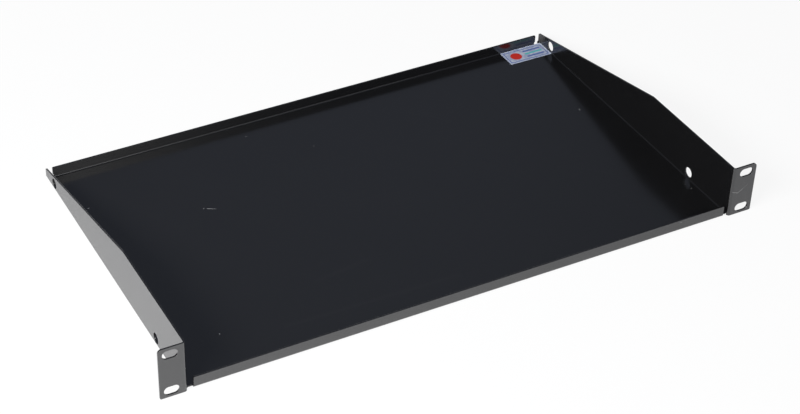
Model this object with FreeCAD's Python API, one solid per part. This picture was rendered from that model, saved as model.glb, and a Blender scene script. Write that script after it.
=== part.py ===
# A one-unit cantilever rack shelf, folded from one sheet of steel.
#
# Millimetres. +X runs across the rack, +Y to the rear and +Z up. The origin is the centre of the
# four rack slots, in the plane where the backs of the ears bear on the rack's front rails.
import FreeCAD
import Part
import math
import os

Vector = FreeCAD.Vector

# Sheet
SHEET = 1.2                # thickness of the sheet
BEND_INSIDE = 1.0          # inside radius of every fold

# Ears, to the 19-inch rack standard
PANEL_WIDTH = 482.6        # across the outer edges of the two ears
EAR_REACH = 19.05          # from a wall's outer face to the outer edge of its ear
SLOT_PITCH = 31.75         # from the lower slot of an ear up to the upper one
SLOT_TO_TOP = 5.95         # from the upper slot's centre to the top edge of the ear
SLOT_TO_BOTTOM = 5.45      # from the lower slot's centre to the bottom edge of the ear
SLOT_TO_EDGE = 8.75        # from a slot's centre to the outer edge of the ear
SLOT_LENGTH = 11.5
SLOT_WIDTH = 7.0
EAR_TOP_RADIUS = 3.0       # outer upper corner
EAR_BOTTOM_RADIUS = 1.0    # outer lower corner

# Tray and its two lips, with heights above the tray's underside
DEPTH = 273.0              # from the front faces of the ears to the rear ends of the walls
FRONT_LIP_HEIGHT = 9.6
FRONT_LIP_SETBACK = 0.9    # the front lip's outer face, behind the front faces of the ears
BACK_LIP_HEIGHT = 9.8
BACK_LIP_SETBACK = 2.0     # the back lip's outer face, in front of the rear ends of the walls
LIP_GAP = 3.25             # between an end of a centred lip and the fold of the wall beside it
LIP_CORNER_RADIUS = 0.8    # upper corners of both lips
FRONT_LIP_SHIFT = 0.65     # from the middle of the shelf to the middle of the front lip
BACK_LIP_SHIFT = -0.9      # and of the back lip: the sheet is folded a little askew
RELIEF_CLEARANCE = 0.5     # how far the slot beside a lip's end runs past the lip's own fold
UNDERCUT_DIAMETER = 4.4    # round relief just above the fold in each end of the back lip
UNDERCUT_BITE = 0.8        # how far that relief runs into the lip's end
EAR_SLIT = 0.8             # gap between the fold of an ear and the fold of its wall

# Side walls
LEVEL_TOP = 107.8          # from the front faces of the ears back to the knee of the top edge
KNEE_RADIUS = 2.0
WALL_REAR_HEIGHT = 8.8     # rear end of a wall, above the tray's underside
WALL_REAR_RADIUS = 1.2
SIDE_HOLE_DIAMETER = 8.5
SIDE_HOLE_CLEARANCE = 0.1  # from the top of a wall's fold up to the lowest point of a hole
FRONT_HOLE_SETBACK = 52.5  # from the front faces of the ears to the front hole's centre
REAR_HOLE_INSET = 19.0     # from the rear ends of the walls to the rear hole's centre

# Planes that the sizes above lead to
bend_outside = BEND_INSIDE + SHEET
ear_edge = PANEL_WIDTH / 2
wall_outer = ear_edge - EAR_REACH
wall_inner = wall_outer - SHEET
fold_start = wall_outer - bend_outside
lip_length = 2 * (fold_start - LIP_GAP)
lip_reach = bend_outside + RELIEF_CLEARANCE
ear_front = -SHEET
ear_back = 0.0
wall_front = ear_front + bend_outside
wall_rear = ear_front + DEPTH
lip_front = ear_front + FRONT_LIP_SETBACK
lip_rear = wall_rear - BACK_LIP_SETBACK
ear_top = SLOT_PITCH / 2 + SLOT_TO_TOP
ear_bottom = -SLOT_PITCH / 2 - SLOT_TO_BOTTOM
underside = ear_bottom
tray_top = underside + SHEET
fold_top = underside + bend_outside
hole_height = fold_top + SIDE_HOLE_CLEARANCE + SIDE_HOLE_DIAMETER / 2

MARGIN = 1.0               # how far a cutting solid stands clear of what it trims
COINCIDENT = 1e-6          # points nearer than this are one point


def rounded_outline(corners):
    """Closed wire of straight runs, with each (point, radius) corner rounded by a tangent arc."""
    rounds = []
    for index, (point, radius) in enumerate(corners):
        to_last = (corners[index - 1][0] - point).normalize()
        to_next = (corners[(index + 1) % len(corners)][0] - point).normalize()
        half_angle = to_last.getAngle(to_next) / 2
        setback = radius / math.tan(half_angle)
        inwards = (to_last + to_next).normalize()
        middle = point + inwards * (radius / math.sin(half_angle) - radius)
        rounds.append((point + to_last * setback, middle, point + to_next * setback))
    edges = []
    for index, (start, middle, end) in enumerate(rounds):
        if start.distanceToPoint(end) > COINCIDENT:
            edges.append(Part.Arc(start, middle, end).toShape())
        next_start = rounds[(index + 1) % len(rounds)][0]
        if end.distanceToPoint(next_start) > COINCIDENT:
            edges.append(Part.LineSegment(end, next_start).toShape())
    return Part.Wire(edges)


def prism(corners, sweep):
    """Solid swept from a rounded outline."""
    return Part.Face(rounded_outline(corners)).extrude(sweep)


def floor():
    """Level floor of the tray, between the folds of the two walls and the two lips."""
    front = lip_front + lip_reach
    back = lip_rear - lip_reach
    corner = Vector(-fold_start, front, underside)
    return Part.makeBox(2 * fold_start, back - front, SHEET, corner)


def lip(outer_face, inwards, height, shift):
    """Lip with its fold and a strip of floor; inwards is 1 for the front lip and -1 for the back."""
    left = shift - lip_length / 2
    top = underside + height
    inner_face = outer_face + inwards * SHEET
    floor_edge = outer_face + inwards * lip_reach
    section = [
        (Vector(left, outer_face, top), 0),
        (Vector(left, outer_face, underside), bend_outside),
        (Vector(left, floor_edge, underside), 0),
        (Vector(left, floor_edge, tray_top), 0),
        (Vector(left, inner_face, tray_top), BEND_INSIDE),
        (Vector(left, inner_face, top), 0),
    ]
    folded = prism(section, Vector(lip_length, 0, 0))
    top_corners = []
    for edge in folded.Edges:
        middle = edge.CenterOfMass
        at_top = abs(middle.z - top) < COINCIDENT
        at_end = abs(abs(middle.x - shift) - lip_length / 2) < COINCIDENT
        if at_top and at_end:
            top_corners.append(edge)
    return folded.makeFillet(LIP_CORNER_RADIUS, top_corners)


def undercut(side):
    """Punch for the round relief above the fold at the left (-1) or right (1) end of the back lip."""
    past_end = UNDERCUT_DIAMETER / 2 - UNDERCUT_BITE
    centre = BACK_LIP_SHIFT + side * (lip_length / 2 + past_end)
    start = Vector(centre, lip_rear - bend_outside, fold_top)
    return Part.makeCylinder(UNDERCUT_DIAMETER / 2, bend_outside + MARGIN, start, Vector(0, 1, 0))


def tray():
    """Floor of the shelf, with a lip folded up along its front and one along its rear."""
    front_lip = lip(lip_front, 1, FRONT_LIP_HEIGHT, FRONT_LIP_SHIFT)
    back_lip = lip(lip_rear, -1, BACK_LIP_HEIGHT, BACK_LIP_SHIFT)
    return floor().fuse([front_lip, back_lip.cut([undercut(-1), undercut(1)])])


def ear_slit():
    """Gap that parts the fold of the right ear from the fold of the right wall."""
    size = Vector(bend_outside + 2 * MARGIN, EAR_SLIT + MARGIN, fold_top - underside + MARGIN)
    corner = Vector(fold_start - MARGIN, wall_front - MARGIN, underside - MARGIN)
    return Part.makeBox(size.x, size.y, size.z, corner)


def wall():
    """Right wall, folded up from the tray."""
    section = [
        (Vector(fold_start, wall_front, underside), 0),
        (Vector(wall_outer, wall_front, underside), bend_outside),
        (Vector(wall_outer, wall_front, ear_top + MARGIN), 0),
        (Vector(wall_inner, wall_front, ear_top + MARGIN), 0),
        (Vector(wall_inner, wall_front, tray_top), BEND_INSIDE),
        (Vector(fold_start, wall_front, tray_top), 0),
    ]
    folded = prism(section, Vector(0, DEPTH + MARGIN, 0))
    inside = fold_start - MARGIN
    side_view = [
        (Vector(inside, wall_front - MARGIN, underside - MARGIN), 0),
        (Vector(inside, wall_front - MARGIN, ear_top), 0),
        (Vector(inside, ear_front + LEVEL_TOP, ear_top), KNEE_RADIUS),
        (Vector(inside, wall_rear, underside + WALL_REAR_HEIGHT), WALL_REAR_RADIUS),
        (Vector(inside, wall_rear, underside - MARGIN), 0),
    ]
    trimmed = folded.common(prism(side_view, Vector(wall_outer - inside + MARGIN, 0, 0)))
    front_hole = side_hole(ear_front + FRONT_HOLE_SETBACK)
    rear_hole = side_hole(wall_rear - REAR_HOLE_INSET)
    return trimmed.cut([ear_slit(), front_hole, rear_hole])


def side_hole(centre):
    """Punch for a round hole just above the fold of the right wall."""
    start = Vector(wall_inner - MARGIN, centre, hole_height)
    return Part.makeCylinder(SIDE_HOLE_DIAMETER / 2, SHEET + 2 * MARGIN, start, Vector(1, 0, 0))


def ear():
    """Right ear, folded outwards from the front of the wall, with two rack slots."""
    low = ear_bottom - MARGIN
    section = [
        (Vector(wall_inner, wall_front, low), 0),
        (Vector(wall_inner, ear_front, low), bend_outside),
        (Vector(ear_edge + MARGIN, ear_front, low), 0),
        (Vector(ear_edge + MARGIN, ear_back, low), 0),
        (Vector(wall_outer, ear_back, low), BEND_INSIDE),
        (Vector(wall_outer, wall_front, low), 0),
    ]
    folded = prism(section, Vector(0, 0, ear_top - ear_bottom + 2 * MARGIN))
    ahead = ear_front - MARGIN
    front_view = [
        (Vector(wall_inner - MARGIN, ahead, ear_bottom), 0),
        (Vector(ear_edge, ahead, ear_bottom), EAR_BOTTOM_RADIUS),
        (Vector(ear_edge, ahead, ear_top), EAR_TOP_RADIUS),
        (Vector(wall_inner - MARGIN, ahead, ear_top), 0),
    ]
    trimmed = folded.common(prism(front_view, Vector(0, bend_outside + 2 * MARGIN, 0)))
    return trimmed.cut([rack_slot(SLOT_PITCH / 2), rack_slot(-SLOT_PITCH / 2)])


def rack_slot(height):
    """Punch for a level slot with round ends through the right ear."""
    middle = ear_edge - SLOT_TO_EDGE
    left = middle - SLOT_LENGTH / 2
    right = middle + SLOT_LENGTH / 2
    ahead = ear_front - MARGIN
    half_width = SLOT_WIDTH / 2
    front_view = [
        (Vector(left, ahead, height - half_width), half_width),
        (Vector(right, ahead, height - half_width), half_width),
        (Vector(right, ahead, height + half_width), half_width),
        (Vector(left, ahead, height + half_width), half_width),
    ]
    return prism(front_view, Vector(0, SHEET + 2 * MARGIN, 0))


def shelf():
    """Whole shelf: the tray, and on each side a wall and its ear, in one piece of sheet."""
    right_side = wall().fuse(ear())
    left_side = right_side.mirror(Vector(0, 0, 0), Vector(1, 0, 0))
    return tray().fuse([right_side, left_side]).removeSplitter()


os.makedirs("parts", exist_ok=True)
body = shelf()
body.Solids[0].exportStep("parts/shelf.step")
print("shelf: solids", len(body.Solids), "faces", len(body.Faces), "valid", body.isValid(),
      "volume", round(body.Volume, 1))
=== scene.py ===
import math

import bmesh
import bpy
from mathutils import Euler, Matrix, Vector


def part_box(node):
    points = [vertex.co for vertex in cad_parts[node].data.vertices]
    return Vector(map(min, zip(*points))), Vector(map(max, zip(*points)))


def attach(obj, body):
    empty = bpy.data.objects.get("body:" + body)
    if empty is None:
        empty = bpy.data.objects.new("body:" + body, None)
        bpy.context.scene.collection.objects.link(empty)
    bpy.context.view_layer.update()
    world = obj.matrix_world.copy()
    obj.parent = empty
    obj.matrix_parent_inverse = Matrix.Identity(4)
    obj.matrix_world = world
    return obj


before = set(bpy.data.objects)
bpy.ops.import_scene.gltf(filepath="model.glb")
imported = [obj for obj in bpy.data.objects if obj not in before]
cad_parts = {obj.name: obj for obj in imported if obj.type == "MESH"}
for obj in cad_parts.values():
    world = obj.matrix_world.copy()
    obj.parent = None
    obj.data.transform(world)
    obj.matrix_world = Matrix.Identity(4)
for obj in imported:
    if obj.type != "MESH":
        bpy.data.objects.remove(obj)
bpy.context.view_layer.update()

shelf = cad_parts["shelf"]
shelf_low, shelf_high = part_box("shelf")

# Sizes of the folded sheet that its finish and its label follow
SHEET = 0.0012
BEND_INSIDE = 0.001         # inside radius of every fold
EAR_REACH = 0.01905         # from a wall's outer face to the outer edge of its ear
FRONT_LIP_SETBACK = 0.0009  # the front lip's outer face, behind the front faces of the ears
BACK_LIP_SETBACK = 0.002    # the back lip's outer face, in front of the rear ends of the walls

tray_top = shelf_low.z + SHEET
wall_inner = shelf_high.x - EAR_REACH - SHEET
back_lip_inner = shelf_high.y - BACK_LIP_SETBACK - SHEET
ear_front = shelf_low.y
front_lip_front = ear_front + FRONT_LIP_SETBACK
middle = (shelf_low + shelf_high) / 2

# Label, flat on the tray, with its right and rear edges turned up on the folds
LABEL_LENGTH = 0.0390
LABEL_WIDTH = 0.0186
LABEL_THICKNESS = 0.00012
LABEL_ON_FOLD = 0.0007      # how much of it lies on each fold, seen from above
LABEL_COLUMNS = 160
LABEL_ROWS = 80

# Generic print on the label: a red disc beside three level bars, in a thin frame, on mottled
# pale blue. Scales of noise, here and below, are in cycles per metre.
PALE_BLUE = (0.50, 0.55, 0.65)
DULL_BLUE = (0.35, 0.40, 0.55)
DEEP_BLUE = (0.10, 0.15, 0.40)
CYAN = (0.10, 0.50, 0.50)
RED = (0.60, 0.03, 0.02)
INK_BLUR = 0.0003
MOTTLE_SCALE = 330.0
MOTTLE_FADE = (0.40, 0.56)  # values of the noise between which the ground turns dull
FRAME_INSET = 0.0014        # from the label's edges to the frame
FRAME_THICKNESS = 0.0007
DISC_RADIUS = 0.0048
DISC_CENTRE = Vector((0.0100, LABEL_WIDTH / 2, LABEL_THICKNESS))
BAR_LEFT = 0.0185
BAR_RIGHT = 0.0350
BAR_WIDTH = 0.0022
BAR_PITCH = 0.0040
BAR_INKS = (DEEP_BLUE, CYAN, DEEP_BLUE)     # from the front bar to the rear one
PRINT_DUST_SCALE = 900.0
PRINT_DUST_FADE = (0.60, 0.80)  # values of the noise between which the dust comes in
PRINT_DUST_MOST = 0.10
PRINT_ROUGHNESS_FADE = (0.3, 0.7)   # values of the same noise between which the gloss falls
PRINT_ROUGHNESS = (0.30, 0.40)
PAPER_WAVE_SCALE = 260.0
PAPER_WAVE_HEIGHT = 0.00003

# Camera
CAMERA_PLACE = Vector((-0.58558, -0.93142, 0.88229))
CAMERA_TURN = Euler([math.radians(angle) for angle in (52.897, 0.0, -26.193)])
CAMERA_LENS = 89.292        # mm, on a sensor 36 mm wide
SENSOR_WIDTH = 36.0
CAMERA_SHIFT = (0.1104, 0.0075)     # the middle of the frame lies right of the lens's axis

# Studio, with headings from the rear (+Y) towards the right (+X)
WHITE = (1.0, 1.0, 1.0)
FLOOR_RADIUS = 9.0
FLOOR_SEGMENTS = 96
FLOOR_COLOR = (0.91, 0.91, 0.915)
GLOW_SEEN = 0.9             # share of plain white in the floor that the camera sees
GLOW_REFLECTED = 0.13       # and in the floor that glossy and clear surfaces see
SWEEP_TOP = math.sin(math.radians(6))
ROOM_BOTTOM = math.sin(math.radians(14))
ROOM_COLOR = (0.102, 0.112, 0.139)
WINDOW_COLOR = (0.121, 0.134, 0.169)    # the brighter part of the room behind the shelf
WINDOW_HEADING = math.radians(26)
WINDOW_HALF_WIDTH = math.radians(6)
WINDOW_FADE = math.radians(6)
DIM_COLOR = (0.030, 0.032, 0.038)       # the room to the left and behind the camera
DIM_SWEEP_COLOR = (0.12, 0.12, 0.13)    # and the sweep there
LIT_HEADING = math.radians(80)
LIT_HALF_WIDTH = math.radians(85)
LIT_FADE = math.radians(30)

# Powder coat
COAT_COLOR = (0.0058, 0.0058, 0.0062)
COAT_ROUGHNESS = 0.19
COAT_IOR = 1.93
TONE_SPREAD = 0.20          # how far the colour strays either way, as a share of itself
ROUGHNESS_SPREAD = 0.008    # how far the roughness strays either way
CLOUD_SCALE = 14.0          # broad changes of tone and roughness
CLOUD_FADE = (0.35, 0.65)   # values of that noise between which the roughness changes
GRAIN_SCALE = 1100.0
PEEL_SCALE = 700.0
PEEL_HEIGHT = 0.00001
EDGE_RADIUS = 0.00025       # how far the coat rounds the cut edges of the sheet
EDGE_SAMPLES = 6
MM_PER_METRE = 1000         # the marks of use are given in millimetres
MARK_COLOR = (0.60, 0.60, 0.60)
MARK_BLUR = 0.25            # share of a mark's half width over which its edge fades, each way
DUST_COLOR = (0.60, 0.60, 0.62)
BUMP_STRENGTH = 0.2

# Sockets of a Mix node that mixes colours, whose names it repeats for other kinds of value
MIX_FACTOR = 0
MIX_FIRST = 6
MIX_SECOND = 7
MIX_RESULT = 2


class Graph:
    """Node tree of a material or a world, with one short call to add a node and wire it."""

    def __init__(self, tree):
        self.tree = tree
        self.tree.nodes.clear()

    def add(self, kind, inputs=None, **settings):
        """New node; inputs maps a socket's name or number to a value or to another's output."""
        node = self.tree.nodes.new(kind)
        for name, value in settings.items():
            setattr(node, name, value)
        for socket, value in (inputs or {}).items():
            if isinstance(value, bpy.types.NodeSocket):
                self.tree.links.new(value, node.inputs[socket])
            else:
                node.inputs[socket].default_value = value
        return node

    def math(self, operation, first, second=0.0, clamp=False):
        """Output of a Math node."""
        node = self.add("ShaderNodeMath", {0: first, 1: second},
                        operation=operation, use_clamp=clamp)
        return node.outputs[0]

    def vector(self, operation, first, second=(0.0, 0.0, 0.0), output="Vector"):
        """Output of a Vector Math node."""
        node = self.add("ShaderNodeVectorMath", {0: first, 1: second}, operation=operation)
        return node.outputs[output]

    def fade(self, value, start, end, low=0.0, high=1.0):
        """Smooth change from low, where value is at start, to high, where it is at end."""
        node = self.add("ShaderNodeMapRange",
                        {"Value": value, "From Min": start, "From Max": end,
                         "To Min": low, "To Max": high},
                        interpolation_type="SMOOTHSTEP")
        return node.outputs["Result"]

    def band(self, value, start, end, blur):
        """1 between start and end, falling to 0 at both within the blur, and 0 outside them."""
        return self.math("MULTIPLY", self.fade(value, start, start + blur),
                         self.fade(value, end, end - blur))

    def noise(self, place, scale, detail=2.0):
        """Noise from 0 to 1 about 0.5."""
        node = self.add("ShaderNodeTexNoise",
                        {"Vector": place, "Scale": scale, "Detail": detail})
        return node.outputs["Fac"]

    def mix(self, factor, first, second):
        """Colour mixed from first to second."""
        node = self.add("ShaderNodeMix",
                        {MIX_FACTOR: factor, MIX_FIRST: first, MIX_SECOND: second},
                        data_type="RGBA")
        return node.outputs[MIX_RESULT]

    def bump(self, height, distance, **inputs):
        """Normal bent by a height field whose full range is the distance."""
        node = self.add("ShaderNodeBump", {"Height": height, "Strength": BUMP_STRENGTH,
                                           "Distance": distance, **inputs})
        return node.outputs["Normal"]

    def object_place(self):
        """Place on the object, in metres from its origin."""
        return self.add("ShaderNodeTexCoord").outputs["Object"]

    def stroke(self, place, start, end, half_width):
        """1 on the straight stroke from start to end, and 0 beyond its half width."""
        run = end - start
        from_start = self.vector("SUBTRACT", place, start)
        if run.length > 0:
            along = self.vector("DOT_PRODUCT", from_start, run / run.length_squared, "Value")
            along = self.math("ADD", along, 0.0, clamp=True)
            nearest = self.add("ShaderNodeVectorMath", {0: run, "Scale": along},
                               operation="SCALE").outputs["Vector"]
            from_start = self.vector("SUBTRACT", from_start, nearest)
        distance = self.vector("LENGTH", from_start, output="Value")
        return self.fade(distance, (1 + MARK_BLUR) * half_width, (1 - MARK_BLUR) * half_width)


def opaque(color):
    """Colour with full alpha."""
    return (*color, 1.0)


def new_material(name):
    """Empty node material and its graph."""
    material = bpy.data.materials.new(name)
    material.use_nodes = True
    return material, Graph(material.node_tree)


def on_tray(x, y):
    """Point on the tray, from millimetres."""
    return Vector((x / MM_PER_METRE, y / MM_PER_METRE, tray_top))


def on_ear(x, z):
    """Point on the front of an ear, from millimetres."""
    return Vector((x / MM_PER_METRE, ear_front, z / MM_PER_METRE))


def on_front_lip(x, z):
    """Point on the front of the front lip, from millimetres."""
    return Vector((x / MM_PER_METRE, front_lip_front, z / MM_PER_METRE))


def marks_of_use():
    """Strokes that show a paler ground: (start, end, half width in metres, strength)."""
    marks = []

    def speck(point, diameter, strength=1.0):
        """Round speck, with its diameter in millimetres."""
        marks.append((point, point, diameter / 2 / MM_PER_METRE, strength))

    def line(points, width, strength):
        """Scratch or rub through the points, with its width in millimetres."""
        for start, end in zip(points, points[1:]):
            marks.append((start, end, width / 2 / MM_PER_METRE, strength))

    # Short scratch left of the tray's middle
    speck(on_tray(-129.7, 180.1), 0.8, 0.42)
    line([on_tray(-127.5, 178.9), on_tray(-124.1, 177.0)], 0.45, 0.54)
    line([on_tray(-124.1, 177.0), on_tray(-121.6, 175.7)], 0.30, 0.40)
    speck(on_tray(-122.6, 176.3), 0.5, 0.40)

    # Specks on the tray and the front lip
    speck(on_tray(-178.4, 41.9), 1.0, 0.58)
    speck(on_tray(197.0, 168.2), 0.9)
    speck(on_tray(215.9, 38.7), 0.7, 0.6)
    speck(on_tray(-207.8, 218.9), 1.25)
    speck(on_tray(-61.3, 252.6), 0.7, 0.34)
    speck(on_tray(-18.7, 217.3), 0.7, 0.32)
    speck(on_tray(-71.4, 266.8), 0.4, 0.5)
    speck(on_front_lip(178.7, -13.8), 0.6, 0.7)

    # Bent scratch on the right ear
    line([on_ear(221.8, 0.6), on_ear(227.2, -1.6), on_ear(231.6, 1.0)], 0.5, 0.24)
    line([on_ear(231.6, 1.0), on_ear(235.6, 4.0)], 0.4, 0.08)

    # Broad faint rubs on the tray
    line([on_tray(80.1, 221.5), on_tray(94.8, 198.4)], 2.5, 0.003)
    line([on_tray(-92.0, 64.8), on_tray(-47.9, 70.2)], 3.0, 0.0025)
    line([on_tray(-133.1, 29.2), on_tray(3.9, 25.3)], 3.0, 0.0025)
    return marks


def powder_coat():
    """Black powder coat: a fine orange peel, a mottled tone, soft edges and the marks of use."""
    material, graph = new_material("powder_coat_black")
    place = graph.object_place()
    cloud = graph.noise(place, CLOUD_SCALE, detail=3.0)
    grain = graph.noise(place, GRAIN_SCALE, detail=1.0)
    tone = graph.math("ADD", graph.math("MULTIPLY", cloud, 0.5),
                      graph.math("MULTIPLY", grain, 0.5))
    color = graph.mix(tone, opaque([(1 - TONE_SPREAD) * part for part in COAT_COLOR]),
                      opaque([(1 + TONE_SPREAD) * part for part in COAT_COLOR]))
    bare = 0.0
    for start, end, half_width, strength in marks_of_use():
        stroke = graph.stroke(place, start, end, half_width)
        bare = graph.math("MAXIMUM", bare, graph.math("MULTIPLY", stroke, strength))
    color = graph.mix(bare, color, opaque(MARK_COLOR))
    roughness = graph.fade(cloud, *CLOUD_FADE, COAT_ROUGHNESS - ROUGHNESS_SPREAD,
                           COAT_ROUGHNESS + ROUGHNESS_SPREAD)
    rounded = graph.add("ShaderNodeBevel", {"Radius": EDGE_RADIUS}, samples=EDGE_SAMPLES)
    peel = graph.noise(place, PEEL_SCALE)
    normal = graph.bump(peel, PEEL_HEIGHT, Normal=rounded.outputs["Normal"])
    shader = graph.add("ShaderNodeBsdfPrincipled",
                       {"Base Color": color, "Roughness": roughness, "IOR": COAT_IOR,
                        "Normal": normal})
    graph.add("ShaderNodeOutputMaterial", {"Surface": shader.outputs["BSDF"]})
    return material


def label_inks(graph, place):
    """What is printed on the label, each as its mask and its colour."""
    axes = graph.add("ShaderNodeSeparateXYZ", {0: place}).outputs

    def box(left, right, front, rear):
        """1 inside a rectangle of the label, and 0 outside it."""
        return graph.math("MULTIPLY", graph.band(axes["X"], left, right, INK_BLUR),
                          graph.band(axes["Y"], front, rear, INK_BLUR))

    outer, inner = (box(inset, LABEL_LENGTH - inset, inset, LABEL_WIDTH - inset)
                    for inset in (FRAME_INSET, FRAME_INSET + FRAME_THICKNESS))
    from_centre = graph.vector("SUBTRACT", place, DISC_CENTRE)
    reach = graph.vector("LENGTH", from_centre, output="Value")
    inks = [(graph.math("SUBTRACT", outer, inner), DEEP_BLUE),
            (graph.fade(reach, DISC_RADIUS + INK_BLUR, DISC_RADIUS), RED)]
    row_width = (len(BAR_INKS) - 1) * BAR_PITCH + BAR_WIDTH
    for number, ink in enumerate(BAR_INKS):
        front = (LABEL_WIDTH - row_width) / 2 + number * BAR_PITCH
        inks.append((box(BAR_LEFT, BAR_RIGHT, front, front + BAR_WIDTH), ink))
    return inks


def label_print():
    """Gloss print on slightly wavy paper, with a little dust."""
    material, graph = new_material("label_print")
    place = graph.object_place()
    mottle = graph.fade(graph.noise(place, MOTTLE_SCALE, detail=3.0), *MOTTLE_FADE)
    color = graph.mix(mottle, opaque(PALE_BLUE), opaque(DULL_BLUE))
    for mask, ink in label_inks(graph, place):
        color = graph.mix(mask, color, opaque(ink))
    dust = graph.noise(place, PRINT_DUST_SCALE, detail=3.0)
    color = graph.mix(graph.fade(dust, *PRINT_DUST_FADE, 0.0, PRINT_DUST_MOST), color,
                      opaque(DUST_COLOR))
    normal = graph.bump(graph.noise(place, PAPER_WAVE_SCALE), PAPER_WAVE_HEIGHT)
    roughness = graph.fade(dust, *PRINT_ROUGHNESS_FADE, *PRINT_ROUGHNESS)
    shader = graph.add("ShaderNodeBsdfPrincipled",
                       {"Base Color": color, "Roughness": roughness, "Normal": normal})
    graph.add("ShaderNodeOutputMaterial", {"Surface": shader.outputs["BSDF"]})
    return material


def fold_rise(past_start):
    """Height of a fold's inner face above the tray, this far past the line where it starts."""
    if past_start <= 0:
        return 0.0
    return BEND_INSIDE - math.sqrt(BEND_INSIDE ** 2 - past_start ** 2)


def label():
    """Thin sticker in the rear right corner that follows the tray and its two folds."""
    wall_fold = wall_inner - BEND_INSIDE
    back_fold = back_lip_inner - BEND_INSIDE
    corner = Vector((wall_fold + LABEL_ON_FOLD - LABEL_LENGTH,
                     back_fold + LABEL_ON_FOLD - LABEL_WIDTH, tray_top))
    form = bmesh.new()
    grid = []
    for row in range(LABEL_ROWS + 1):
        y = LABEL_WIDTH * row / LABEL_ROWS
        points = []
        for column in range(LABEL_COLUMNS + 1):
            x = LABEL_LENGTH * column / LABEL_COLUMNS
            rise = max(fold_rise(corner.x + x - wall_fold), fold_rise(corner.y + y - back_fold))
            points.append(form.verts.new((x, y, rise + LABEL_THICKNESS)))
        grid.append(points)
    for front, behind in zip(grid, grid[1:]):
        for column in range(LABEL_COLUMNS):
            face = form.faces.new((front[column], front[column + 1],
                                   behind[column + 1], behind[column]))
            face.smooth = True
    mesh = bpy.data.meshes.new("label")
    form.to_mesh(mesh)
    form.free()
    mesh.materials.append(label_print())
    piece = bpy.data.objects.new("label", mesh)
    piece.location = corner
    bpy.context.scene.collection.objects.link(piece)
    thick = piece.modifiers.new("thickness", "SOLIDIFY")
    thick.thickness = LABEL_THICKNESS
    thick.offset = -1.0
    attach(piece, "root")


def studio_floor():
    """Round pale floor that the shelf stands on."""
    material, graph = new_material("studio_floor")
    paint = graph.add("ShaderNodeBsdfDiffuse", {"Color": opaque(FLOOR_COLOR)})
    glow = graph.add("ShaderNodeEmission", {"Color": opaque(WHITE), "Strength": 1.0})
    path = graph.add("ShaderNodeLightPath").outputs
    reflected = graph.math("ADD", path["Is Glossy Ray"], path["Is Transmission Ray"],
                           clamp=True)
    share = graph.math("ADD", graph.math("MULTIPLY", path["Is Camera Ray"], GLOW_SEEN),
                       graph.math("MULTIPLY", reflected, GLOW_REFLECTED))
    both = graph.add("ShaderNodeMixShader",
                     {0: share, 1: paint.outputs["BSDF"], 2: glow.outputs["Emission"]})
    graph.add("ShaderNodeOutputMaterial", {"Surface": both.outputs["Shader"]})

    form = bmesh.new()
    bmesh.ops.create_circle(form, cap_ends=True, segments=FLOOR_SEGMENTS, radius=FLOOR_RADIUS)
    mesh = bpy.data.meshes.new("floor")
    form.to_mesh(mesh)
    form.free()
    mesh.materials.append(material)
    floor = bpy.data.objects.new("floor", mesh)
    floor.location = (middle.x, middle.y, shelf_low.z)
    bpy.context.scene.collection.objects.link(floor)


def studio_world():
    """White sweep near the horizon and a cool room above it, both dim to the left."""
    world = bpy.data.worlds.new("studio")
    bpy.context.scene.world = world
    world.use_nodes = True
    graph = Graph(world.node_tree)
    direction = graph.add("ShaderNodeTexCoord").outputs["Generated"]
    axes = graph.add("ShaderNodeSeparateXYZ", {0: direction}).outputs
    heading = graph.math("ARCTAN2", axes["X"], axes["Y"])

    def lobe(centre, half_width, fade_width):
        """1 within half a width of a heading, and 0 past the fade beside it."""
        turn = graph.math("ABSOLUTE", graph.math("SUBTRACT", heading, centre))
        return graph.fade(turn, half_width + fade_width, half_width)

    lit = lobe(LIT_HEADING, LIT_HALF_WIDTH, LIT_FADE)
    window = lobe(WINDOW_HEADING, WINDOW_HALF_WIDTH, WINDOW_FADE)
    room = graph.mix(lit, opaque(DIM_COLOR), opaque(ROOM_COLOR))
    room = graph.mix(window, room, opaque(WINDOW_COLOR))
    sweep = graph.mix(lit, opaque(DIM_SWEEP_COLOR), opaque(WHITE))
    color = graph.mix(graph.fade(axes["Z"], SWEEP_TOP, ROOM_BOTTOM), sweep, room)
    sky = graph.add("ShaderNodeBackground", {"Color": color, "Strength": 1.0})
    graph.add("ShaderNodeOutputWorld", {"Surface": sky.outputs["Background"]})


def softbox(name, place, width, height, radiance):
    """Rectangular soft light that faces the middle of the shelf."""
    data = bpy.data.lights.new(name, "AREA")
    data.shape = "RECTANGLE"
    data.size = width
    data.size_y = height
    data.energy = radiance * math.pi * width * height
    light = bpy.data.objects.new(name, data)
    light.location = place
    light.rotation_mode = "QUATERNION"
    light.rotation_quaternion = (middle - Vector(place)).to_track_quat("-Z", "Y")
    light.visible_camera = False
    bpy.context.scene.collection.objects.link(light)


def camera():
    """Camera above the left front corner, looking down across the tray."""
    data = bpy.data.cameras.new("camera")
    data.lens = CAMERA_LENS
    data.sensor_width = SENSOR_WIDTH
    data.shift_x, data.shift_y = CAMERA_SHIFT
    viewer = bpy.data.objects.new("camera", data)
    viewer.location = CAMERA_PLACE
    viewer.rotation_euler = CAMERA_TURN
    bpy.context.scene.collection.objects.link(viewer)
    bpy.context.scene.camera = viewer


bpy.context.scene.view_settings.view_transform = "Standard"
studio_world()
studio_floor()
softbox("key", place=(-1.25, -0.41, 0.90), width=1.0, height=0.5, radiance=25.5)
softbox("fill", place=(-0.25, -1.9, 1.45), width=1.9, height=0.9, radiance=2.2)
camera()

coat = powder_coat()
for material_slot in shelf.material_slots:
    material_slot.material = coat
label()
